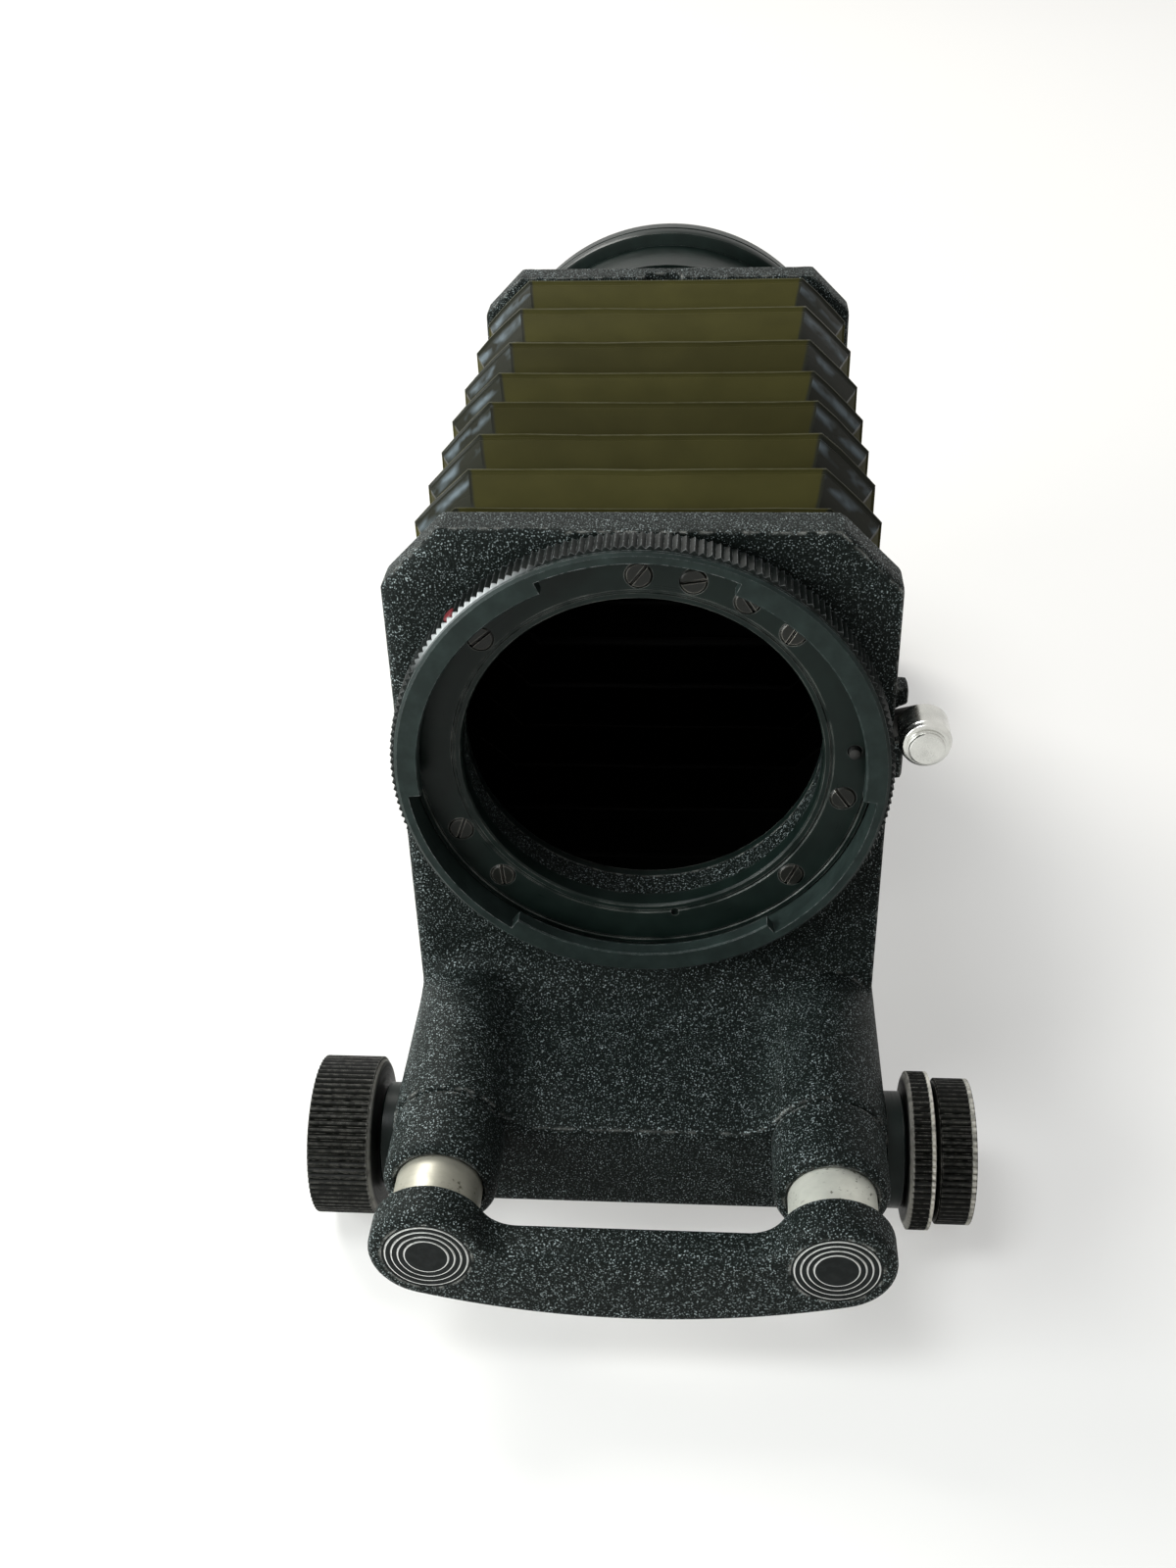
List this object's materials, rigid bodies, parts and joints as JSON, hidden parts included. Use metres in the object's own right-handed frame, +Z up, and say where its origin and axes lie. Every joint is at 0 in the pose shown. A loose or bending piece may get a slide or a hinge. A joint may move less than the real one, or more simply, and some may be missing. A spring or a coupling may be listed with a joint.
{
  "type": "macro bellows unit",
  "caption": "Close-up bellows: lens and camera standards slide on parallel rods by rack and pinion, with knurled knobs, clamp rings, a bayonet lens mount and a pleated light-tight bellows.",
  "frame": {"origin": "Where the lens axis crosses the front face of the front plate, inside the lens mount's throat", "axes": "+X to the right seen from the lens side, +Y back along the rods toward the camera, +Z up"},
  "size_m": [0.0794, 0.1868, 0.0856],
  "materials": {
    "crinkle_black": "Black stoved crackle enamel on cast aluminium, fine grain with tiny glints",
    "black_anodised": "Satin black anodised aluminium, turned",
    "black_knurl": "Black anodised aluminium, straight knurled, worn bright on the ridges",
    "engraved_black": "Black anodised discs with silver-filled engraved rings",
    "satin_chrome": "Satin chrome plated steel rod",
    "bright_chrome": "Turned and plated bright metal",
    "steel_screw": "Plain turned steel",
    "black_screw": "Blackened slotted steel screws",
    "brass_bush": "Plain bearing brass",
    "bellows_cloth": "Rubber-coated black cloth with an olive brown sheen, folded in pleats",
    "red_enamel": "Dark red enamel index dot"
  },
  "bodies": {
    "rails": {"rod_left": "satin_chrome", "rod_right": "satin_chrome", "end_bar_front": "crinkle_black", "end_bar_rear": "crinkle_black", "bar_caps_front": "engraved_black", "bar_caps_rear": "engraved_black", "rod_screws_front": "steel_screw", "rod_screws_rear": "steel_screw", "tripod_block": "crinkle_black", "tripod_bush": "steel_screw", "block_clamp_screws": "steel_screw"},
    "front_standard": {"front_casting": "crinkle_black", "front_collars": "crinkle_black", "front_guide_bushes": "brass_bush", "front_shaft_bush": "black_anodised", "front_lock_boss": "black_anodised", "lens_flange": "black_anodised", "lens_flange_screws": "black_screw", "front_bellows_frame": "black_anodised", "front_frame_screws": "black_screw", "bellows_front_half": "bellows_cloth", "release_spring": "steel_screw"},
    "lens_ring": {"lens_lock_ring": "black_knurl", "ring_index_dot": "red_enamel"},
    "lens_release": {"release_button": "bright_chrome", "release_arm": "steel_screw"},
    "front_drive": {"front_pinion_shaft": "steel_screw", "front_knob_wide": "black_knurl", "front_knob_narrow": "black_knurl", "front_knob_screws": "steel_screw"},
    "front_clamp": {"front_clamp_ring": "black_knurl"},
    "rear_standard": {"rear_casting": "crinkle_black", "rear_collars": "crinkle_black", "rear_guide_bushes": "brass_bush", "rear_shaft_bush": "black_anodised", "rear_lock_boss": "black_anodised", "rear_neck": "black_anodised", "rear_neck_screws": "black_screw", "camera_ring": "black_anodised", "camera_spigot": "bright_chrome", "camera_spigot_screws": "steel_screw", "rear_bellows_frame": "black_anodised", "rear_frame_screws": "black_screw", "bellows_rear_half": "bellows_cloth"},
    "rear_drive": {"rear_pinion_shaft": "steel_screw", "rear_knob_wide": "black_knurl", "rear_knob_narrow": "black_knurl", "rear_knob_screws": "steel_screw"},
    "rear_clamp": {"rear_clamp_ring": "black_knurl"}
  },
  "joints": [
    {"name": "front_slide", "type": "slide", "parent": "rails", "child": "front_standard", "axis": [0, 1, 0], "range_m": [-0.005, 0.026], "deforming": ["bellows_front_half"]},
    {"name": "rear_slide", "type": "slide", "parent": "rails", "child": "rear_standard", "axis": [0, 1, 0], "range_m": [-0.026, 0.005], "deforming": ["bellows_rear_half"]},
    {"name": "front_pinion", "type": "hinge", "parent": "front_standard", "child": "front_drive", "pos_m": [0, -0.0167, -0.0458], "axis": [1, 0, 0], "range_deg": [-96, 498]},
    {"name": "rear_pinion", "type": "hinge", "parent": "rear_standard", "child": "rear_drive", "pos_m": [0, 0.1197, -0.0458], "axis": [1, 0, 0], "range_deg": [-498, 96]},
    {"name": "front_clamp_turn", "type": "hinge", "parent": "front_standard", "child": "front_clamp", "pos_m": [0.0335, -0.0167, -0.0458], "axis": [1, 0, 0], "range_deg": [0, 60]},
    {"name": "rear_clamp_turn", "type": "hinge", "parent": "rear_standard", "child": "rear_clamp", "pos_m": [0.0335, 0.1197, -0.0458], "axis": [1, 0, 0], "range_deg": [0, 60]},
    {"name": "lens_ring_turn", "type": "hinge", "parent": "front_standard", "child": "lens_ring", "pos_m": [0, 0, 0], "axis": [0, 1, 0], "range_deg": [0, 60]},
    {"name": "release_press", "type": "slide", "parent": "front_standard", "child": "lens_release", "axis": [0, 1, 0], "range_m": [0, 0.0014], "stiffness_N_per_m": 500, "springref_m": -0.0006, "deforming": ["release_spring"]}
  ],
  "couplings": [
    {"joint": "front_pinion", "follows": "front_slide", "rad_per_m": 333.33},
    {"joint": "rear_pinion", "follows": "rear_slide", "rad_per_m": 333.33}
  ]
}
